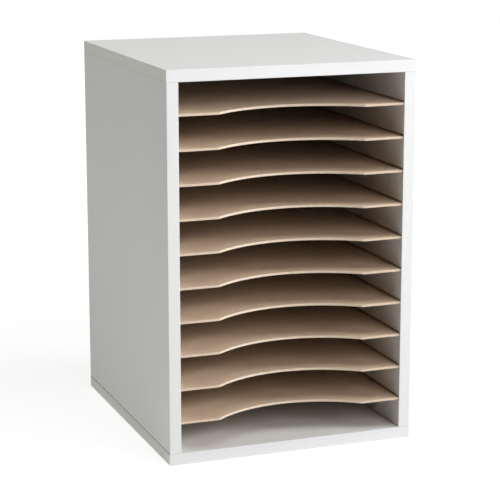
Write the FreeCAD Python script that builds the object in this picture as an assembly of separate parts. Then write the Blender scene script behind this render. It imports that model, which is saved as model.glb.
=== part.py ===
import FreeCAD, Part
import os

# A vertical desktop sorter for letter-size paper: a laminated board cabinet, open at the
# front, with hardboard shelves in grooves and a hardboard back nailed into a rebate.
# Millimetres. +Z is up, the open front faces -Y and the origin is the middle of the base.
# Left and right are as seen from the front. Shelves are numbered from the top.

# Outside of the cabinet
cabinet_width = 269.9
cabinet_depth = 301.6
cabinet_height = 406.4

# Laminated boards, and the edging glued over the sawn edges that show
board_thickness = 12.4
band_thickness = 1.0
band_edge_radius = 0.4

# Hardboard shelves and the side grooves that carry them
shelf_count = 10
shelf_thickness = 2.5
end_bay_height = 30.2
groove_depth = 5.0
groove_headroom = 1.6
shelf_end_clearance = 0.5
shelf_front_clearance = 0.8
shelf_rear_clearance = 0.5

# Hand cut-out in the front edge of each shelf, one circular arc
notch_width = 160.0
notch_depth = 29.2

# Hardboard back, let into a rebate and sunk below the rear edges of the boards
back_thickness = 3.2
back_sink = 0.8
rebate_lap = 6.0
back_edge_clearance = 0.5

# Nails that hold the back, in every second bay of the sides and along both ends
nail_shank_diameter = 1.4
nail_shank_length = 13.0
nail_point_length = 1.6
nail_head_diameter = 3.2
nail_head_thickness = 0.7
nail_hole_clearance = 0.05
nail_bay_step = 2
nails_per_end = 3

# Glued dowels, upright through each corner joint
dowel_diameter = 6.0
dowel_length = 30.0
dowel_chamfer = 0.8
dowel_glue_gap = 0.1
dowel_end_gap = 0.5
dowel_cover = 3.4
dowel_edge_distance = 40.0
dowels_per_joint = 3

# Outer planes of the cabinet
half_width = cabinet_width / 2
front = -cabinet_depth / 2
rear = cabinet_depth / 2

# Inside of the cabinet
inner_half = half_width - board_thickness
floor = board_thickness
ceiling = cabinet_height - board_thickness
board_front = front + band_thickness

# Grooves, evenly spaced between the two end bays
groove_height = shelf_thickness + groove_headroom
lowest_groove = floor + end_bay_height
highest_groove = ceiling - end_bay_height - groove_height
shelf_pitch = (highest_groove - lowest_groove) / (shelf_count - 1)

# Rebate for the back
rebate_floor = rear - back_sink - back_thickness
rebate_half = inner_half + rebate_lap
rebate_bottom = floor - rebate_lap
rebate_top = ceiling + rebate_lap

# Nails run down the middle of the strip where the back laps a board
nail_line = (rebate_lap - back_edge_clearance) / 2
nail_seat = rear - back_sink
nail_hole_length = nail_shank_length + nail_point_length + nail_hole_clearance

# Dowels stand in the middle of the side boards
dowel_x = half_width - board_thickness / 2
dowel_hole_radius = dowel_diameter / 2 + dowel_glue_gap
dowel_panel_hole = board_thickness - dowel_cover
dowel_side_hole = dowel_length + 2 * dowel_end_gap - dowel_panel_hole

up = FreeCAD.Vector(0, 0, 1)
forward = FreeCAD.Vector(0, -1, 0)

names = []


# A box between two limits on each axis, given in either order
def block(x_limits, y_limits, z_limits):
    low = FreeCAD.Vector(min(x_limits), min(y_limits), min(z_limits))
    high = FreeCAD.Vector(max(x_limits), max(y_limits), max(z_limits))
    size = high - low
    return Part.makeBox(size.x, size.y, size.z, low)


# Height of a shelf's underside, which rests on the floor of its groove
def shelf_height(number):
    return highest_groove - (number - 1) * shelf_pitch


# Middle height of a bay, where bay 0 lies above shelf 1
def bay_middle(bay):
    bay_floor = floor if bay == shelf_count else shelf_height(bay + 1) + shelf_thickness
    bay_ceiling = ceiling if bay == 0 else shelf_height(bay)
    return (bay_floor + bay_ceiling) / 2


# Evenly spaced places from one value to another, both included
def spread(first, last, count):
    if count == 1:
        return [(first + last) / 2]
    return [first + (last - first) * i / (count - 1) for i in range(count)]


# Where the nails go round the back, as x and z
def nail_places():
    side_x = inner_half + nail_line
    bays = range(0, shelf_count + 1, nail_bay_step)
    places = [(side * side_x, bay_middle(bay)) for side in (-1, 1) for bay in bays]
    end_gap = 2 * inner_half / nails_per_end
    end_x = spread(-inner_half + end_gap / 2, inner_half - end_gap / 2, nails_per_end)
    for z in (floor - nail_line, ceiling + nail_line):
        places += [(x, z) for x in end_x]
    return places


# Where the dowels stand along the depth of each corner joint
def dowel_places():
    return spread(board_front + dowel_edge_distance, rear - dowel_edge_distance, dowels_per_joint)


# Holes for all the nails, through the back and into the boards
def nail_holes():
    radius = nail_shank_diameter / 2 + nail_hole_clearance
    length = nail_hole_length
    holes = [
        Part.makeCylinder(radius, length, FreeCAD.Vector(x, nail_seat, z), forward)
        for x, z in nail_places()
    ]
    return Part.makeCompound(holes)


# Holes for the dowels of one corner joint, from the top or bottom panel into a side board
def dowel_holes(side, joint_height, into_side):
    holes = []
    for y in dowel_places():
        start = joint_height - into_side * dowel_panel_hole
        base = FreeCAD.Vector(side * dowel_x, y, start)
        length = dowel_panel_hole + dowel_side_hole
        holes.append(Part.makeCylinder(dowel_hole_radius, length, base, up * into_side))
    return Part.makeCompound(holes)


# Every dowel hole of the cabinet
def all_dowel_holes():
    joints = [(side, floor, 1) for side in (-1, 1)]
    joints += [(side, ceiling, -1) for side in (-1, 1)]
    return Part.makeCompound([dowel_holes(*joint) for joint in joints])


# Writes one named piece
def save(name, shape):
    shape.exportStep("parts/" + name + ".step")
    names.append(name)


# Top or bottom panel: full width between its end bands, with a stopped rebate at the rear
def end_panel(z_limits, rebate_limits):
    board_half = half_width - band_thickness
    board = block((-board_half, board_half), (board_front, rear), z_limits)
    rebate = block((-rebate_half, rebate_half), (rebate_floor, rear), rebate_limits)
    return board.cut(rebate).cut(all_dowel_holes()).cut(nail_holes())


# Side board: stands between the end panels, grooved from its front edge to its rebate
def side_panel(side):
    inner = side * inner_half
    outer = side * half_width
    board = block((inner, outer), (board_front, rear), (floor, ceiling))
    cuts = [block((inner, side * rebate_half), (rebate_floor, rear), (floor, ceiling))]
    for number in range(1, shelf_count + 1):
        bottom = shelf_height(number)
        groove_x = (inner, inner + side * groove_depth)
        cuts.append(block(groove_x, (board_front, rear), (bottom, bottom + groove_height)))
    return board.cut(Part.makeCompound(cuts)).cut(all_dowel_holes()).cut(nail_holes())


# Back panel: loose in its rebate by a small gap all round, drilled by its nails
def back_panel():
    half = rebate_half - back_edge_clearance
    z_limits = (rebate_bottom + back_edge_clearance, rebate_top - back_edge_clearance)
    sheet = block((-half, half), (rebate_floor, nail_seat), z_limits)
    return sheet.cut(nail_holes())


# Shelf: a flat sheet whose front edge is hollowed by an arc for the hand
def shelf(number):
    half = inner_half + groove_depth - shelf_end_clearance
    shelf_front = board_front + shelf_front_clearance
    shelf_rear = rebate_floor - shelf_rear_clearance
    z = shelf_height(number)
    corners = [
        FreeCAD.Vector(notch_width / 2, shelf_front, z),
        FreeCAD.Vector(half, shelf_front, z),
        FreeCAD.Vector(half, shelf_rear, z),
        FreeCAD.Vector(-half, shelf_rear, z),
        FreeCAD.Vector(-half, shelf_front, z),
        FreeCAD.Vector(-notch_width / 2, shelf_front, z),
    ]
    deepest = FreeCAD.Vector(0, shelf_front + notch_depth, z)
    edges = [Part.makeLine(a, b) for a, b in zip(corners, corners[1:])]
    edges.append(Part.Arc(corners[-1], deepest, corners[0]).toShape())
    return Part.Face(Part.Wire(edges)).extrude(up * shelf_thickness)


# Rounds the long outer edges of a band: those on its outer plane that run its whole length
def trim_band(band, axis, outer_axis, outer_value):
    box = band.BoundBox
    length = {"x": box.XLength, "y": box.YLength, "z": box.ZLength}[axis]
    long_edges = [
        edge
        for edge in band.Edges
        if abs(edge.Length - length) < 0.001
        and abs(getattr(edge.CenterOfMass, outer_axis) - outer_value) < 0.001
    ]
    return band.makeFillet(band_edge_radius, long_edges)


# Front band of the top or bottom panel: as long as the cabinet is wide
def end_front_band(z_limits):
    band = block((-half_width, half_width), (front, board_front), z_limits)
    return trim_band(band, "x", "y", front)


# Front band of a side board: covers the ends of its grooves
def side_front_band(side):
    band = block((side * inner_half, side * half_width), (front, board_front), (floor, ceiling))
    return trim_band(band, "z", "y", front)


# Band on the left or right end of the top or bottom panel, behind the front band
def panel_end_band(side, z_limits):
    x_limits = (side * (half_width - band_thickness), side * half_width)
    band = block(x_limits, (board_front, rear), z_limits)
    return trim_band(band, "y", "x", side * half_width)


# One dowel with chamfered ends, standing in its holes
def dowel(x, y, bottom):
    radius = dowel_diameter / 2
    tip = radius - dowel_chamfer
    foot = Part.makeCone(tip, radius, dowel_chamfer, FreeCAD.Vector(x, y, bottom))
    shank_bottom = bottom + dowel_chamfer
    shank_length = dowel_length - 2 * dowel_chamfer
    shank = Part.makeCylinder(radius, shank_length, FreeCAD.Vector(x, y, shank_bottom))
    head_bottom = shank_bottom + shank_length
    head = Part.makeCone(radius, tip, dowel_chamfer, FreeCAD.Vector(x, y, head_bottom))
    return foot.fuse([shank, head])


# The dowels of one corner joint, as separate solids
def joint_dowels(side, low_joint):
    entry = dowel_panel_hole - dowel_end_gap
    bottom = floor - entry if low_joint else ceiling + entry - dowel_length
    return Part.makeCompound([dowel(side * dowel_x, y, bottom) for y in dowel_places()])


# One nail: a flat head on the back, a round shank and a point
def nail(x, z):
    seat = FreeCAD.Vector(x, nail_seat, z)
    head = Part.makeCylinder(nail_head_diameter / 2, nail_head_thickness, seat, -forward)
    radius = nail_shank_diameter / 2
    shank = Part.makeCylinder(radius, nail_shank_length, seat, forward)
    shank_end = seat + forward * nail_shank_length
    point = Part.makeCone(radius, 0, nail_point_length, shank_end, forward)
    return head.fuse([shank, point])


os.makedirs("parts", exist_ok=True)

top_limits = (ceiling, cabinet_height)
bottom_limits = (0, floor)

save("top_panel", end_panel(top_limits, (ceiling, rebate_top)))
save("bottom_panel", end_panel(bottom_limits, (rebate_bottom, floor)))
save("back_panel", back_panel())
save("top_front_band", end_front_band(top_limits))
save("bottom_front_band", end_front_band(bottom_limits))

for side_name, side in (("left", -1), ("right", 1)):
    save(side_name + "_side_panel", side_panel(side))
    save(side_name + "_front_band", side_front_band(side))
    save("top_" + side_name + "_end_band", panel_end_band(side, top_limits))
    save("bottom_" + side_name + "_end_band", panel_end_band(side, bottom_limits))
    save("top_" + side_name + "_dowels", joint_dowels(side, False))
    save("bottom_" + side_name + "_dowels", joint_dowels(side, True))

for number in range(1, shelf_count + 1):
    save("shelf_%02d" % number, shelf(number))

save("back_nails", Part.makeCompound([nail(x, z) for x, z in nail_places()]))

print(len(names), "pieces, shelf pitch", round(shelf_pitch, 3))
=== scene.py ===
import math
import bmesh
import bpy
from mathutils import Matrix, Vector


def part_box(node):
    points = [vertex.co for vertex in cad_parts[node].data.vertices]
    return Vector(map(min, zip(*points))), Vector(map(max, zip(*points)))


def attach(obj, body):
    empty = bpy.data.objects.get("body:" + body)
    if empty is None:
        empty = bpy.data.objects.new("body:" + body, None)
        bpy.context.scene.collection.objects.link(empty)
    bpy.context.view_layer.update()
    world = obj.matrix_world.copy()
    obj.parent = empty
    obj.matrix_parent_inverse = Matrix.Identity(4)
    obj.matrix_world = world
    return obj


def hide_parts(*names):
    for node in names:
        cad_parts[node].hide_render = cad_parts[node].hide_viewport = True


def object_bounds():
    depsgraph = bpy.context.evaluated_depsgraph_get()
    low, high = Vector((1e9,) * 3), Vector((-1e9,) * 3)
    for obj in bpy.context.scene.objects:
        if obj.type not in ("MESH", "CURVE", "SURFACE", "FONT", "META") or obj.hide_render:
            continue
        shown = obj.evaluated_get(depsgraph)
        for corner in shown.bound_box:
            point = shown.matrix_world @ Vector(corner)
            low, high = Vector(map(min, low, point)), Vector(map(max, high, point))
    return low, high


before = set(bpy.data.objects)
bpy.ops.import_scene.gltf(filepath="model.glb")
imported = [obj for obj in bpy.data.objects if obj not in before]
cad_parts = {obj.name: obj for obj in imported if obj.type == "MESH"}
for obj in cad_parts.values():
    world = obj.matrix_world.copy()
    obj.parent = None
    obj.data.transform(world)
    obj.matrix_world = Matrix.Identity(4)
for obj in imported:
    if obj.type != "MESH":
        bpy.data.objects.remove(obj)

cadLow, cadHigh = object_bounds()
shelfNames = sorted(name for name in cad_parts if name.startswith("shelf_"))
print("frame loaded:", len(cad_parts), "pieces,", len(shelfNames), "shelves")


# Node trees, for materials and for geometry

class Wire:
    # One output in a node tree. Sums on wires add Math nodes, so shader maths reads as maths.
    # Without a socket it only knows its tree, and the first nodes start from it.
    def __init__(self, tree, socket=None):
        self.tree = tree
        self.socket = socket

    def node(self, kind, settings=None, sockets=None, out=0):
        made = self.tree.nodes.new(kind)
        for name, value in (settings or {}).items():
            if name == "stops":
                setStops(made.color_ramp, value)
            elif name == "cases":  # how many an Index Switch has
                for _ in range(value - len(made.index_switch_items)):
                    made.index_switch_items.new()
            else:
                setattr(made, name, value)
        for name, value in (sockets or {}).items():
            if isinstance(value, Wire):
                self.tree.links.new(value.socket, made.inputs[name])
            else:
                made.inputs[name].default_value = value
        return Wire(self.tree, made.outputs[out] if made.outputs else None)

    def other(self, out):
        return Wire(self.tree, self.socket.node.outputs[out])

    def maths(self, operation, first, second=0.0):
        return self.node("ShaderNodeMath", {"operation": operation}, {0: first, 1: second})

    def __add__(self, value):
        return self.maths("ADD", self, value)

    def __radd__(self, value):
        return self.maths("ADD", value, self)

    def __sub__(self, value):
        return self.maths("SUBTRACT", self, value)

    def __rsub__(self, value):
        return self.maths("SUBTRACT", value, self)

    def __mul__(self, value):
        return self.maths("MULTIPLY", self, value)

    def __rmul__(self, value):
        return self.maths("MULTIPLY", value, self)

    def __truediv__(self, value):
        return self.maths("DIVIDE", self, value)

    def __rtruediv__(self, value):
        return self.maths("DIVIDE", value, self)

    def __abs__(self):
        return self.maths("ABSOLUTE", self)

    def above(self, level, soft):  # 0 below the level, 1 above it, over a soft step
        limits = {"Value": self, "From Min": level - soft / 2, "From Max": level + soft / 2}
        return self.node("ShaderNodeMapRange", {"interpolation_type": "SMOOTHSTEP"}, limits)


def setStops(ramp, stops):
    while len(ramp.elements) < len(stops):
        ramp.elements.new(1)
    for element, (place, colour) in zip(ramp.elements, stops):
        element.position = place
        element.color = (*colour, 1)


def blendColours(factor, first, second):  # a Mix node's colours go in at 6 and 7 and out at 2
    first = first if isinstance(first, Wire) else (*first, 1)
    second = second if isinstance(second, Wire) else (*second, 1)
    sockets = {0: factor, 6: first, 7: second}
    return factor.node("ShaderNodeMix", {"data_type": "RGBA"}, sockets, out=2)


def driftColour(drift, colour, share):  # a share darker and lighter from place to place
    return blendColours(drift, [c * (1 - share) for c in colour], [c * (1 + share) for c in colour])


def blendTones(first, second, share):  # the first pattern's share, the rest is the second
    return first * share + second * (1 - share)


class Finish:
    # A material with one Principled shader, and the patterns that feed it.
    def __init__(self, name, constants):
        self.material = bpy.data.materials.new(name)
        self.material.use_nodes = True
        tree = self.material.node_tree
        self.shader = next(n for n in tree.nodes if n.type == "BSDF_PRINCIPLED")
        for socket, value in constants.items():
            self.shader.inputs[socket].default_value = value
        self.place = Wire(tree).node("ShaderNodeTexCoord", out="Object")

    def axes(self):
        split = self.place.node("ShaderNodeSeparateXYZ", sockets={0: self.place})
        return split, split.other(1), split.other(2)

    def stretched(self, stretch):
        return self.place.node("ShaderNodeMapping", sockets={0: self.place, "Scale": stretch})

    def noise(self, scale, detail=3.0, rough=0.5, stretch=(1, 1, 1)):
        sockets = {"Vector": self.stretched(stretch), "Scale": scale, "Detail": detail, "Roughness": rough}
        return self.place.node("ShaderNodeTexNoise", sockets=sockets)

    def cells(self, scale, stretch=(1, 1, 1), out="Color"):
        sockets = {"Vector": self.stretched(stretch), "Scale": scale}
        return self.place.node("ShaderNodeTexVoronoi", sockets=sockets, out=out)

    def ramp(self, factor, stops):
        return factor.node("ShaderNodeValToRGB", {"stops": stops}, {0: factor})

    def feed(self, socket, wire):
        wire.tree.links.new(wire.socket, self.shader.inputs[socket])

    def bump(self, height, depth, strength):
        sockets = {"Height": height, "Distance": depth, "Strength": strength}
        self.feed("Normal", height.node("ShaderNodeBump", sockets=sockets))

    def paintSeamShadeAndDust(self, colour, joints):  # painted shade and dust: dark lines at heights where two pieces meet
        height = self.axes()[2]
        uneven = seamShadeAndDust["uneven"]
        patches = self.noise(**seamShadeAndDust["patches"]) * uneven + (1 - uneven / 2)
        for level, dark in joints:
            line = 1 - abs(height - level).above(seamShadeAndDust["reach"], seamShadeAndDust["soft"])
            colour = blendColours(line * patches * dark, colour, seamShadeAndDust["colour"])
        return colour


# Finishes. The scale of a noise or of cells is how many there are to a metre, and a bump's depth
# is in metres. "shader" holds what stays the same all over a surface. Roughness starts at
# "roughLow", and each pattern adds up to its own amount. A "Share" is how much of a pattern shows.

# Painted shadow and dust in the fine gap between two pieces
seamShadeAndDust = {
    "reach": 0.0006,
    "soft": 0.0005,
    "colour": (0.07, 0.07, 0.06),
    "patches": {"scale": 60},
    "uneven": 0.4,         # how much the darkness varies along the gap
    "sideDark": 0.75,      # how dark the painted shade and dust in the gap is under the sides
    "frontLowDark": 0.15,  # and across the front, at the bottom and at the top
    "frontHighDark": 0.08,
}

laminate = {
    "shader": {"Specular IOR Level": 0.25},
    "colour": (0.735, 0.73, 0.715),
    "clouds": {"scale": 9, "detail": 4},
    "cloudShare": 0.02,    # how much the tone drifts over a board
    "pimples": {"scale": 700, "detail": 2},
    "bump": {"depth": 0.00003, "strength": 0.35},
    "roughLow": 0.41,
    "roughPimples": 0.10,
    "roughClouds": 0.08,
}


def laminateFinish(name, joints=()):
    finish = Finish(name, laminate["shader"])
    clouds = finish.noise(**laminate["clouds"])
    colour = driftColour(clouds, laminate["colour"], laminate["cloudShare"])
    finish.feed("Base Color", finish.paintSeamShadeAndDust(colour, joints))
    pimples = finish.noise(**laminate["pimples"])
    rough = pimples * laminate["roughPimples"] + clouds * laminate["roughClouds"]
    finish.feed("Roughness", rough + laminate["roughLow"])
    finish.bump(pimples, **laminate["bump"])
    return finish.material


chipboard = {
    "shader": {"Roughness": 0.85, "Specular IOR Level": 0.2},
    "chips": {"scale": 520, "stretch": (1.0, 0.45, 1.6)},
    "dust": {"scale": 2200, "detail": 2},
    "chipShare": 0.75,     # of the tone, the rest is dust
    "stops": [
        (0.0, (0.30, 0.19, 0.10)),
        (0.35, (0.50, 0.35, 0.21)),
        (0.7, (0.62, 0.46, 0.29)),
        (1.0, (0.74, 0.59, 0.41)),
    ],
    "chipHeight": 0.6,     # both are shares of the bump's depth
    "gapDepth": 0.5,
    "bump": {"depth": 0.0003, "strength": 0.8},
}


def chipboardFinish():
    finish = Finish("particle_board_core", chipboard["shader"])
    chips = finish.cells(**chipboard["chips"])
    split = chips.node("ShaderNodeSeparateColor", sockets={0: chips})
    tone = blendTones(split, finish.noise(**chipboard["dust"]), chipboard["chipShare"])
    finish.feed("Base Color", finish.ramp(tone, chipboard["stops"]))
    gaps = finish.cells(**chipboard["chips"], out="Distance")
    relief = split.other(1) * chipboard["chipHeight"] - gaps * chipboard["gapDepth"]
    finish.bump(relief, **chipboard["bump"])
    return finish.material


edging = {
    "shader": {"Specular IOR Level": 0.3},
    # one strip material: the front's lighter colour is painted light, the ends' darker, yellower colour
    # painted shade
    "front": {"colour": (0.80, 0.80, 0.80), "roughLow": 0.41},
    "end": {"colour": (0.735, 0.73, 0.68), "roughLow": 0.46},
    "clouds": {"scale": 14},
    "cloudShare": 0.015,
    "ribs": {"scale": 900, "detail": 1},  # faint lines of the extruded strip
    "ribStretch": 0.02,
    "roughRibs": 0.08,
    "bump": {"depth": 0.00001, "strength": 0.3},
}


def edgingFinish(name, kind, along, joints):
    finish = Finish(name, edging["shader"])
    stretch = [edging["ribStretch"] if axis == along else 1 for axis in "xyz"]
    ribs = finish.noise(**edging["ribs"], stretch=stretch)
    clouds = finish.noise(**edging["clouds"])
    colour = driftColour(clouds, edging[kind]["colour"], edging["cloudShare"])
    finish.feed("Base Color", finish.paintSeamShadeAndDust(colour, joints))
    finish.feed("Roughness", ribs * edging["roughRibs"] + edging[kind]["roughLow"])
    finish.bump(ribs, **edging["bump"])
    return finish.material


smoothFace = {
    "shader": {"Specular IOR Level": 0.35},
    "fibres": {"scale": 420, "detail": 5, "rough": 0.65, "stretch": (1.0, 0.35, 1.0)},
    "clouds": {"scale": 16, "detail": 3},
    "fibreShare": 0.7,     # of the tone, the rest is clouds
    "stops": [
        (0.25, (0.60, 0.44, 0.31)),
        (0.5, (0.69, 0.53, 0.39)),
        (0.75, (0.76, 0.61, 0.47)),
    ],
    "flecks": {"scale": 1300, "detail": 2},
    "fleckFrom": 0.62,     # only the peaks of the pattern are flecks
    "fleckSoft": 0.10,
    "fleckShare": 0.35,
    "fleckColour": (0.60, 0.44, 0.31),
    "roughLow": 0.42,
    "roughFibres": 0.15,
    "bump": {"depth": 0.00004, "strength": 0.4},
}


def smoothFaceFinish():
    finish = Finish("hardboard_smooth_face", smoothFace["shader"])
    fibres = finish.noise(**smoothFace["fibres"])
    tone = blendTones(fibres, finish.noise(**smoothFace["clouds"]), smoothFace["fibreShare"])
    colour = finish.ramp(tone, smoothFace["stops"])
    peaks = finish.noise(**smoothFace["flecks"])
    flecks = peaks.above(smoothFace["fleckFrom"], smoothFace["fleckSoft"])
    colour = blendColours(flecks * smoothFace["fleckShare"], colour, smoothFace["fleckColour"])
    finish.feed("Base Color", colour)
    finish.feed("Roughness", fibres * smoothFace["roughFibres"] + smoothFace["roughLow"])
    finish.bump(fibres, **smoothFace["bump"])
    return finish.material


cutEdge = {
    "shader": {"Specular IOR Level": 0.15, "Roughness": 0.9},
    "layers": {"scale": 1500, "detail": 3, "stretch": (0.12, 0.12, 1.0)},
    "fuzz": {"scale": 2600, "detail": 2},
    "layerShare": 0.65,    # of the tone, the rest is fuzz
    "sawn": [(0.3, (0.57, 0.44, 0.32)), (0.55, (0.73, 0.595, 0.46))],
    # painted highlight: paler colours for the middle of the edge
    "paintedHighlight": [(0.3, (0.605, 0.48, 0.365)), (0.55, (0.77, 0.65, 0.52))],
    "change": 0.001,       # length over which one turns into the other
    "bump": {"depth": 0.0001, "strength": 0.6},
}


def cutEdgeFinish(name, highlightWidth=0.0):  # painted highlight: the middle of the edge, across this width, is paler
    finish = Finish(name, cutEdge["shader"])
    layers = finish.noise(**cutEdge["layers"])
    tone = blendTones(layers, finish.noise(**cutEdge["fuzz"]), cutEdge["layerShare"])
    colour = finish.ramp(tone, cutEdge["sawn"])
    if highlightWidth:
        paintedHighlight = finish.ramp(tone, cutEdge["paintedHighlight"])
        outside = abs(finish.axes()[0]).above(highlightWidth / 2, cutEdge["change"])
        colour = blendColours(outside, paintedHighlight, colour)
    finish.feed("Base Color", colour)
    finish.bump(tone, **cutEdge["bump"])
    return finish.material


screenFace = {
    "shader": {"Specular IOR Level": 0.15, "Roughness": 0.88},
    "pitch": 0.0016,       # of the screen that the sheet was pressed on
    "fibres": {"scale": 600, "detail": 4, "rough": 0.6},
    "clouds": {"scale": 11, "detail": 4, "rough": 0.6},
    "weaveShare": 0.33,    # of the tone, as the next two are
    "fibreShare": 0.45,
    "cloudShare": 0.22,
    "colour": (0.50, 0.365, 0.25),
    "stops": [(0.3, 0.74), (0.7, 1.22)],  # tones, and what the colour is multiplied by there
    "fibreHeight": 0.5,    # a share of the weave's
    "bump": {"depth": 0.00025, "strength": 0.8},
}


def screenFaceFinish(name, across):
    finish = Finish(name, screenFace["shader"])
    axes = dict(zip("xyz", finish.axes()))
    turn = 2 * math.pi / screenFace["pitch"]
    rows, columns = [axes[axis].maths("SINE", axes[axis] * turn) for axis in ("x", across)]
    weave = rows * columns * 0.5 + 0.5
    fibres = finish.noise(**screenFace["fibres"])
    clouds = finish.noise(**screenFace["clouds"])
    tone = weave * screenFace["weaveShare"] + fibres * screenFace["fibreShare"]
    tone = tone + clouds * screenFace["cloudShare"]
    stops = [(place, [c * share for c in screenFace["colour"]]) for place, share in screenFace["stops"]]
    finish.feed("Base Color", finish.ramp(tone, stops))
    finish.bump(weave + fibres * screenFace["fibreHeight"], **screenFace["bump"])
    return finish.material


beech = {
    "shader": {"Specular IOR Level": 0.25, "Roughness": 0.65},
    "grain": {"scale": 900, "detail": 4, "stretch": (1, 1, 0.06)},
    "stops": [(0.3, (0.52, 0.35, 0.20)), (0.7, (0.74, 0.56, 0.37))],
    "bump": {"depth": 0.00005, "strength": 0.5},
}


def beechFinish():
    finish = Finish("beech_dowel", beech["shader"])
    grain = finish.noise(**beech["grain"])
    finish.feed("Base Color", finish.ramp(grain, beech["stops"]))
    finish.bump(grain, **beech["bump"])
    return finish.material


zinc = {
    "shader": {"Metallic": 1.0},
    "scuffs": {"scale": 3000, "detail": 3},
    "stops": [(0.3, (0.40, 0.40, 0.41)), (0.7, (0.62, 0.62, 0.62))],
    "roughLow": 0.28,
    "roughScuffs": 0.25,
}


def nailFinish():
    finish = Finish("zinc_nail", zinc["shader"])
    scuffs = finish.noise(**zinc["scuffs"])
    finish.feed("Base Color", finish.ramp(scuffs, zinc["stops"]))
    finish.feed("Roughness", scuffs * zinc["roughScuffs"] + zinc["roughLow"])
    return finish.material


sideLow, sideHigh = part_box("left_side_panel")
# heights and darkness of the painted seam shade and dust
sideJoints = [(sideLow.z, seamShadeAndDust["sideDark"])]
frontJoints = [(sideLow.z, seamShadeAndDust["frontLowDark"]), (sideHigh.z, seamShadeAndDust["frontHighDark"])]
materials = {
    "endBoard": laminateFinish("laminate_end_boards"),
    "sideBoard": laminateFinish("laminate_side_boards", sideJoints),
    "core": chipboardFinish(),
    "face": smoothFaceFinish(),
    "edge": cutEdgeFinish("hardboard_cut_edge"),
    "underside": screenFaceFinish("hardboard_screen_underside", "y"),
    "screenBack": screenFaceFinish("hardboard_screen_back", "z"),
    "dowel": beechFinish(),
    "nail": nailFinish(),
}
print("finishes made:", len(materials))


# Making pieces

making = {
    "weld": 1e-6,          # corners closer than this are one
    "flat": 0.2,           # degrees between two faces, up to which they are one
    "easeAbove": 60,       # degrees between two faces, past which the edge is eased
    "easeShortest": 0.008,
    "easeSteps": 2,
    "crease": 50,          # degrees between two faces, past which the edge shades as a crease
}


def mergedCopy(node):
    build = bmesh.new()
    build.from_mesh(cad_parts[node].data)
    bmesh.ops.remove_doubles(build, verts=build.verts, dist=making["weld"])
    bmesh.ops.dissolve_limit(
        build, angle_limit=math.radians(making["flat"]), verts=build.verts, edges=build.edges
    )
    return build


def roundEdges(build, edges, radius, steps):
    bmesh.ops.bevel(
        build, geom=edges, offset=radius, segments=steps, profile=0.5,
        affect="EDGES", clamp_overlap=True, material=-1,
    )


def easeEdges(build, radius):
    sharp = [
        edge
        for edge in build.edges
        if len(edge.link_faces) == 2
        and edge.is_convex
        and edge.calc_length() > making["easeShortest"]
        and edge.calc_face_angle() > math.radians(making["easeAbove"])
    ]
    roundEdges(build, sharp, radius, making["easeSteps"])


def plainMesh(name, made):  # what an object's modifiers make of it, as a mesh of its own
    view = bpy.context.evaluated_depsgraph_get()
    mesh = bpy.data.meshes.new_from_object(made.evaluated_get(view), depsgraph=view)
    mesh.name = name
    return mesh


def placePiece(name, mesh):
    mesh.shade_smooth()
    mesh.set_sharp_from_angle(angle=math.radians(making["crease"]))
    piece = bpy.data.objects.new(name, mesh)
    bpy.context.scene.collection.objects.link(piece)
    even = piece.modifiers.new("even", "WEIGHTED_NORMAL")  # flat faces shade flat up to their eased edges
    even.keep_sharp = True
    piece.data = plainMesh(name, piece)
    piece.modifiers.clear()
    return piece


def finishPiece(name, build, finishes, pick=None):  # pick: which of the finishes a face has
    mesh = bpy.data.meshes.new(name)
    for finish in finishes:
        mesh.materials.append(finish)
    if pick:
        for face in build.faces:
            face.material_index = pick(face)
    build.to_mesh(mesh)
    build.free()
    return placePiece(name, mesh)


def standFor(piece, node):
    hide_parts(node)
    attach(piece, "root")


def looseParts(node):  # the low and high corner of each separate solid in a node
    build = mergedCopy(node)
    left = set(build.verts)
    parts = []
    while left:
        front = [left.pop()]
        part = list(front)
        while front:
            reached = {e.other_vert(v) for v in front for e in v.link_edges} & left
            left -= reached
            part += reached
            front = list(reached)
        low = Vector([min(v.co[i] for v in part) for i in range(3)])
        high = Vector([max(v.co[i] for v in part) for i in range(3)])
        parts.append((low, high))
    build.free()
    return sorted(parts, key=lambda part: tuple(part[0]))


# Boards: laminate on both faces, bare core on the sawn faces and in the grooves

board = {
    "ease": 0.00022,
    "facing": 0.6,         # a face whose normal lies this much along the thickness is laminated
}


def boardPiece(node, faceAxis, finish):
    build = mergedCopy(node)
    easeEdges(build, board["ease"])
    low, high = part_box(node)
    axis = "xyz".index(faceAxis)

    def pick(face):
        middle = face.calc_center_median()[axis]
        flat = abs(face.normal[axis]) > board["facing"]
        outside = min(middle - low[axis], high[axis] - middle) < board["ease"]
        return 0 if flat and outside else 1

    piece = finishPiece(node.replace("_panel", "_board"), build, [finish, materials["core"]], pick)
    standFor(piece, node)


for node in ("top_panel", "bottom_panel"):
    boardPiece(node, "z", materials["endBoard"])
for node in ("left_side_panel", "right_side_panel"):
    boardPiece(node, "x", materials["sideBoard"])
print("boards made")


# Edge bands: thin strips, rounded along the two edges that show

band = {"round": 0.0004, "roundSteps": 4}


def bandPiece(node, out, along, kind):
    low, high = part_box(node)
    build = bmesh.new()
    bmesh.ops.create_cube(build, size=1)
    for vert in build.verts:
        vert.co = [high[i] if vert.co[i] > 0 else low[i] for i in range(3)]
    outAxis = "xyz".index(out[1])
    outer = high[outAxis] if out[0] == "+" else low[outAxis]
    alongAxis = "xyz".index(along)
    rounded = [
        edge
        for edge in build.edges
        if all(abs(v.co[outAxis] - outer) < making["weld"] for v in edge.verts)
        and abs(edge.verts[0].co[alongAxis] - edge.verts[1].co[alongAxis]) > making["weld"]
    ]
    roundEdges(build, rounded, band["round"], band["roundSteps"])
    joints = frontJoints if kind == "front" else sideJoints
    finish = edgingFinish("edging_" + node, kind, along, joints)
    piece = finishPiece(node.replace("_band", "_strip"), build, [finish])
    standFor(piece, node)


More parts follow.
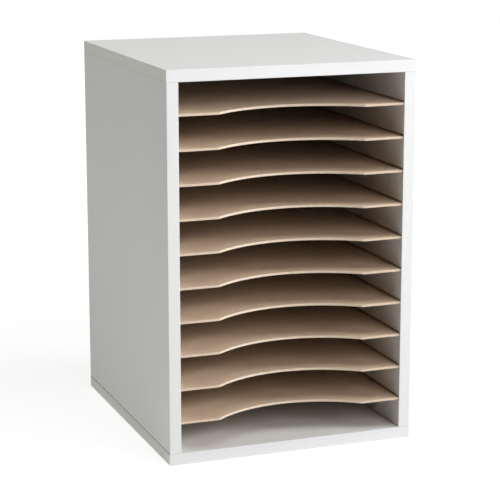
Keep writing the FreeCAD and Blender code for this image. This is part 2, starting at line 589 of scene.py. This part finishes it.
for place in ("top", "bottom"):
    bandPiece(place + "_front_band", "-y", "x", "front")
    bandPiece(place + "_left_end_band", "-x", "y", "end")
    bandPiece(place + "_right_end_band", "+x", "y", "end")
for place in ("left", "right"):
    bandPiece(place + "_front_band", "-y", "z", "front")
print("edge bands made")


# Making pieces with Geometry Nodes

def startTree(name, kinds):  # a tree with its inputs, and a wire from each
    tree = bpy.data.node_groups.new(name, "GeometryNodeTree")
    for label, kind in kinds.items():
        tree.interface.new_socket(label, in_out="INPUT", socket_type="NodeSocket" + kind)
    tree.interface.new_socket("Geometry", in_out="OUTPUT", socket_type="NodeSocketGeometry")
    start = Wire(tree).node("NodeGroupInput")
    return start, {label: start.other(label) for label in kinds}


def endTree(geometry):
    geometry.node("NodeGroupOutput", sockets={0: geometry})
    return geometry.tree


def runTree(name, tree, values, start=None, bevel=None):
    mesh = start or bpy.data.meshes.new(name)
    maker = bpy.data.objects.new(name + "_maker", mesh)
    bpy.context.scene.collection.objects.link(maker)
    modifier = maker.modifiers.new("make", "NODES")
    modifier.node_group = tree
    for item in tree.interface.items_tree:
        if item.in_out == "INPUT" and item.name in values:
            modifier[item.identifier] = values[item.name]  # by its identifier, its name isn't enough
    if bevel:
        rounding = maker.modifiers.new("ease", "BEVEL")
        for setting, value in bevel.items():
            setattr(rounding, setting, value)
    made = plainMesh(name, maker)
    bpy.data.objects.remove(maker)
    return placePiece(name, made)


# Shelves: one outline with an arc for the hand, drawn by a rule

shelf = {
    "notchWidth": 0.160,
    "notchDepth": 0.0292,
    "arcSteps": 72,
    "ease": 0.00025,
    "easeSteps": 2,
    "easeAbove": 40,       # degrees between two faces
    "facing": 0.5,         # a face whose normal lies this much up or down is no cut edge
}
# the painted highlight on the edge spans the notch
shelfEdge = cutEdgeFinish("hardboard_shelf_edge", shelf["notchWidth"])


def shelfTree():
    floats = ["Half Width", "Front", "Rear", "Underside", "Thickness", "Notch Width", "Notch Depth"]
    kinds = {name: "Float" for name in floats}
    kinds["Arc Steps"] = "Int"
    kinds.update({name: "Material" for name in ("Face", "Edge", "Screen")})
    start, given = startTree("hollowed_shelf", kinds)
    half = given["Notch Width"] / 2
    depth = given["Notch Depth"]
    radius = (half * half + depth * depth) / (depth * 2)
    swing = start.maths("ARCSINE", half / radius)
    index = start.node("GeometryNodeInputIndex")
    angle = (index / given["Arc Steps"] * 2 - 1) * swing

    def point(x, y):
        return start.node("ShaderNodeCombineXYZ", sockets={0: x, 1: y, 2: given["Underside"]})

    onArc = point(
        start.maths("SINE", angle) * radius,
        start.maths("COSINE", angle) * radius + given["Front"] + depth - radius,
    )
    corners = {
        "Index": index - given["Arc Steps"] - 1,
        "0": point(given["Half Width"], given["Front"]),
        "1": point(given["Half Width"], given["Rear"]),
        "2": point(0 - given["Half Width"], given["Rear"]),
        "3": point(0 - given["Half Width"], given["Front"]),
    }
    cornerCount = len(corners) - 1
    settings = {"data_type": "VECTOR", "cases": cornerCount}
    corner = start.node("GeometryNodeIndexSwitch", settings, corners)
    sockets = {"Vertices": given["Arc Steps"] + (1 + cornerCount), "Radius": 1.0}
    outline = start.node("GeometryNodeMeshCircle", {"fill_type": "NGON"}, sockets)
    settings = {"data_type": "FLOAT", "operation": "LESS_EQUAL"}
    isArc = start.node("FunctionNodeCompare", settings, {0: index, 1: given["Arc Steps"] + 0.5})
    place = start.node("GeometryNodeSwitch", {"input_type": "VECTOR"}, {0: isArc, 1: corner, 2: onArc})
    bottom = start.node("GeometryNodeSetPosition", sockets={"Geometry": outline, "Position": place})
    lift = start.node("ShaderNodeCombineXYZ", sockets={2: given["Thickness"]})
    walls = start.node(
        "GeometryNodeExtrudeMesh", {"mode": "FACES"},
        {"Mesh": bottom, "Offset": lift, "Offset Scale": 1.0, "Individual": False},
    )
    turned = start.node("GeometryNodeFlipFaces", sockets={"Mesh": bottom})
    both = start.node("GeometryNodeJoinGeometry", sockets={0: walls})
    both.tree.links.new(turned.socket, both.socket.node.inputs[0])
    sockets = {"Geometry": both, "Distance": making["weld"]}
    solid = start.node("GeometryNodeMergeByDistance", sockets=sockets)
    normal = start.node("GeometryNodeInputNormal")
    upward = start.node("ShaderNodeSeparateXYZ", sockets={0: normal}).other(2)
    solid = start.node("GeometryNodeRealizeInstances", sockets={"Geometry": solid})
    solid = start.node("GeometryNodeSetMaterial", sockets={"Geometry": solid, "Material": given["Edge"]})
    settings = {"data_type": "FLOAT", "operation": "GREATER_THAN"}
    for name, sign in (("Face", 1), ("Screen", -1)):
        facing = start.node("FunctionNodeCompare", settings, {0: upward * sign, 1: shelf["facing"]})
        sockets = {"Geometry": solid, "Selection": facing, "Material": given[name]}
        solid = start.node("GeometryNodeSetMaterial", sockets=sockets)
    return endTree(solid)


def shelfPiece(node, tree):
    low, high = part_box(node)
    values = {
        "Half Width": high.x,
        "Front": low.y,
        "Rear": high.y,
        "Underside": low.z,
        "Thickness": high.z - low.z,
        "Notch Width": shelf["notchWidth"],
        "Notch Depth": shelf["notchDepth"],
        "Arc Steps": shelf["arcSteps"],
        "Face": materials["face"],
        "Edge": shelfEdge,
        "Screen": materials["underside"],
    }
    bevel = {
        "width": shelf["ease"],
        "segments": shelf["easeSteps"],
        "limit_method": "ANGLE",
        "angle_limit": math.radians(shelf["easeAbove"]),
    }
    piece = runTree(node.replace("shelf", "hollowed_shelf"), tree, values, bevel=bevel)
    standFor(piece, node)


hollowedShelf = shelfTree()
for node in shelfNames:
    shelfPiece(node, hollowedShelf)
print("shelves made:", len(shelfNames))


# Back: a hardboard sheet, its smooth face inside

back = {
    "ease": 0.00025,
    "facing": 0.7,         # a face whose normal lies this much along the thickness is no cut edge
}


def backPiece():
    build = mergedCopy("back_panel")
    easeEdges(build, back["ease"])

    def pick(face):
        if face.normal.y < -back["facing"]:
            return 0
        return 1 if face.normal.y > back["facing"] else 2

    finishes = [materials["face"], materials["screenBack"], materials["edge"]]
    piece = finishPiece("back_sheet", build, finishes, pick)
    standFor(piece, "back_panel")


backPiece()
print("back made")


# Nails and dowels: one shape each, set at every place by the same rule

nail = {
    "head": 0.0016,        # this and the next two are radii
    "shank": 0.0007,
    "tip": 0.00008,
    "headThick": 0.0007,
    "point": 0.0016,
    "dome": [(1, 0.97), (0.45, 1), (0.15, 0.93), (0, 0.55)],  # shares of the head's depth and radius
    "sides": 24,
    "seed": 10,
}
dowel = {
    "radius": 0.003,
    "chamfer": 0.0008,
    "flutes": 16,
    "fluteDepth": 0.00018,
    "perFlute": 4,
    "seed": 23,            # of the first joint, and each next joint has the next one
}


def turnedShape(name, profile, sides, wave=lambda angle: 0.0):  # wave: how deep a flute is at an angle
    build = bmesh.new()
    rings = []
    for height, radius in profile:
        ring = []
        for i in range(sides):
            angle = 2 * math.pi * i / sides
            reach = radius - wave(angle)
            ring.append(build.verts.new((reach * math.cos(angle), reach * math.sin(angle), height)))
        rings.append(ring)
    for lower, upper in zip(rings, rings[1:]):
        for i in range(sides):
            j = (i + 1) % sides
            build.faces.new((lower[i], lower[j], upper[j], upper[i]))
    build.faces.new(list(reversed(rings[0])))
    build.faces.new(rings[-1])
    bmesh.ops.recalc_face_normals(build, faces=build.faces)
    mesh = bpy.data.meshes.new(name)
    build.to_mesh(mesh)
    build.free()
    return mesh


def placingTree():  # a shape at each place, spun about its own length by chance and then laid over
    kinds = {"Places": "Geometry", "Shape": "Object", "Turn X": "Float", "Seed": "Int", "Finish": "Material"}
    start, given = startTree("set_at_places", kinds)
    shape = start.node("GeometryNodeObjectInfo", sockets={"Object": given["Shape"]}, out="Geometry")
    points = start.node("GeometryNodeMeshToPoints", sockets={"Mesh": given["Places"]})
    sockets = {2: 0.0, 3: 2 * math.pi, "Seed": given["Seed"]}
    chance = start.node("FunctionNodeRandomValue", {"data_type": "FLOAT"}, sockets, out=1)

    def turnAbout(axis, angle):
        turn = start.node("ShaderNodeCombineXYZ", sockets={axis: angle})
        return start.node("FunctionNodeEulerToRotation", sockets={0: turn})

    sockets = {0: turnAbout(0, given["Turn X"]), 1: turnAbout(2, chance)}
    rotation = start.node("FunctionNodeRotateRotation", {"rotation_space": "LOCAL"}, sockets)
    sockets = {"Points": points, "Instance": shape, "Rotation": rotation}
    copies = start.node("GeometryNodeInstanceOnPoints", sockets=sockets)
    real = start.node("GeometryNodeRealizeInstances", sockets={"Geometry": copies})
    sockets = {"Geometry": real, "Material": given["Finish"]}
    return endTree(start.node("GeometryNodeSetMaterial", sockets=sockets))


def setAtPlaces(name, node, shapeMesh, spots, tree, values):
    places = bpy.data.meshes.new(name + "_places")
    places.from_pydata(spots, [], [])
    shape = bpy.data.objects.new(name + "_shape", shapeMesh)
    piece = runTree(name, tree, {"Shape": shape, **values}, start=places)
    bpy.data.objects.remove(shape)
    standFor(piece, node)


def nailPieces(tree):
    parts = looseParts("back_nails")
    length = parts[0][1].y - parts[0][0].y
    thick = nail["headThick"]
    profile = [(0.0, nail["tip"]), (nail["point"], nail["shank"]), (length - thick, nail["shank"])]
    profile += [(length - thick * depth, nail["head"] * wide) for depth, wide in nail["dome"]]
    shape = turnedShape("nail_shape", profile, nail["sides"])
    spots = [((low.x + high.x) / 2, low.y, (low.z + high.z) / 2) for low, high in parts]
    values = {"Turn X": math.radians(-90), "Seed": nail["seed"], "Finish": materials["nail"]}
    setAtPlaces("sheet_nails", "back_nails", shape, spots, tree, values)


def dowelPieces(tree):
    low, high = looseParts("top_left_dowels")[0]
    length = high.z - low.z
    endRadius = dowel["radius"] - dowel["chamfer"]
    profile = [
        (0.0, endRadius),
        (dowel["chamfer"], dowel["radius"]),
        (length - dowel["chamfer"], dowel["radius"]),
        (length, endRadius),
    ]
    shape = turnedShape(
        "dowel_shape", profile, dowel["flutes"] * dowel["perFlute"],
        lambda angle: dowel["fluteDepth"] * (0.5 - 0.5 * math.cos(angle * dowel["flutes"])),
    )
    for number, joint in enumerate(("top_left", "top_right", "bottom_left", "bottom_right")):
        node = joint + "_dowels"
        spots = [((low.x + high.x) / 2, (low.y + high.y) / 2, low.z) for low, high in looseParts(node)]
        values = {"Turn X": 0.0, "Seed": dowel["seed"] + number, "Finish": materials["dowel"]}
        setAtPlaces("fluted_" + node, node, shape, spots, tree, values)


setPlaces = placingTree()
nailPieces(setPlaces)
dowelPieces(setPlaces)
print("nails and dowels made")


# Stage: pale floor, soft lamps and the camera

stage = {
    "floorSize": 8.0,
    "floorCells": 24,
    "floorColour": (0.86, 0.86, 0.86),
    "shadow": 0.30,        # how much of the real floor light the camera sees near the object
    "lift": 0.14,          # makes the open floor just white for the camera
    "fadeFrom": 0.45,      # past this distance the floor turns plain white for the camera
    "fadeTo": 1.10,
    "ambient": 0.0,        # light from all around, besides the lamps
}
white = (1, 1, 1, 1)


def cameraSees(start):
    ray = start.node("ShaderNodeLightPath")
    seen = ray.maths("MAXIMUM", ray, ray.other("Is Glossy Ray"))
    return ray.maths("MAXIMUM", seen, ray.other("Is Transmission Ray"))


def emptyTree(owner):
    owner.use_nodes = True
    owner.node_tree.nodes.clear()
    return Wire(owner.node_tree)


def floorFinish():
    material = bpy.data.materials.new("studio_floor")
    start = emptyTree(material)
    matt = start.node("ShaderNodeBsdfDiffuse", sockets={"Color": (*stage["floorColour"], 1)})
    plain = start.node("ShaderNodeEmission", sockets={"Color": white, "Strength": 1.0})
    spot = start.node("ShaderNodeTexCoord", out="Object")
    reach = start.node("ShaderNodeVectorMath", {"operation": "LENGTH"}, {0: spot}, out="Value")
    middle = (stage["fadeFrom"] + stage["fadeTo"]) / 2
    far = reach.above(middle, stage["fadeTo"] - stage["fadeFrom"])
    share = 1 - (1 - far) * stage["shadow"]
    shown = start.node("ShaderNodeMixShader", sockets={0: share, 1: matt, 2: plain})
    glow = start.node("ShaderNodeEmission", sockets={"Color": white, "Strength": stage["lift"]})
    shown = start.node("ShaderNodeAddShader", sockets={0: shown, 1: glow})
    both = start.node("ShaderNodeMixShader", sockets={0: cameraSees(start), 1: matt, 2: shown})
    start.node("ShaderNodeOutputMaterial", sockets={"Surface": both})
    return material


def makeFloor():
    build = bmesh.new()
    cells = stage["floorCells"]
    bmesh.ops.create_grid(build, x_segments=cells, y_segments=cells, size=stage["floorSize"] / 2)
    floor = finishPiece("studio_floor", build, [floorFinish()])


def makeWorld():
    world = bpy.data.worlds.new("studio")
    bpy.context.scene.world = world
    start = emptyTree(world)
    sockets = {"Color": white, "Strength": stage["ambient"]}
    ambient = start.node("ShaderNodeBackground", sockets=sockets)
    plain = start.node("ShaderNodeBackground", sockets={"Color": white, "Strength": 1.0})
    both = start.node("ShaderNodeMixShader", sockets={0: cameraSees(start), 1: ambient, 2: plain})
    start.node("ShaderNodeOutputWorld", sockets={"Surface": both})


# Each lamp stands off the middle of the cabinet: degrees round from the front towards +X and up,
# and metres away
lamps = {
    "key": {
        "round": 67, "up": 20, "away": 4.0,
        "size": 1.3, "power": 100, "colour": (1, 1, 1),
    },
    "front_fill": {
        "round": 17, "up": 20, "away": 1.8,
        "size": 0.9, "power": 13.3, "colour": (1, 1, 1),
    },
    "left_fill": {
        "round": 272, "up": 0.5, "away": 1.4,
        "size": 0.40, "power": 3.65, "colour": (0.98, 1, 0.93),
    },
    "top_fill": {
        "round": 20, "up": 68, "away": 1.5,
        "size": 1.0, "power": 8.1, "colour": (0.98, 0.98, 1),
    },
    "back_fill": {
        "round": 197, "up": 42, "away": 3.0,
        "size": 1.5, "power": 25, "colour": (1, 1, 1),
    },
}

camera = {
    "place": (-0.6628, -1.7902, 0.6102),
    "turn": 20.569,        # degrees from +Y towards +X
    "down": 12.559,        # degrees
    "lens": 127.34,        # this and the next in millimetres
    "sensor": 36,
}


def heading(turn, up):  # a direction, in degrees from +Y towards +X and up
    turn, up = math.radians(turn), math.radians(up)
    return Vector((math.sin(turn) * math.cos(up), math.cos(turn) * math.cos(up), math.sin(up)))


def placeAiming(name, data, place, aim):
    made = bpy.data.objects.new(name, data)
    bpy.context.scene.collection.objects.link(made)
    made.location = place
    made.rotation_euler = aim.to_track_quat("-Z", "Y").to_euler()
    return made


def makeLamp(name, lamp):
    data = bpy.data.lights.new(name, "AREA")
    data.shape = "SQUARE"
    data.size = lamp["size"]
    data.energy = lamp["power"]
    data.color = lamp["colour"]
    away = heading(180 - lamp["round"], lamp["up"])
    placeAiming(name, data, (cadLow + cadHigh) / 2 + away * lamp["away"], -away)


def makeCamera():
    data = bpy.data.cameras.new("photo_camera")
    data.lens = camera["lens"]
    data.sensor_width = camera["sensor"]
    aim = heading(camera["turn"], -camera["down"])
    bpy.context.scene.camera = placeAiming("photo_camera", data, camera["place"], aim)


makeFloor()
makeWorld()
for name, lamp in lamps.items():
    makeLamp(name, lamp)
makeCamera()
bpy.context.scene.view_settings.view_transform = "Standard"
print("stage set")
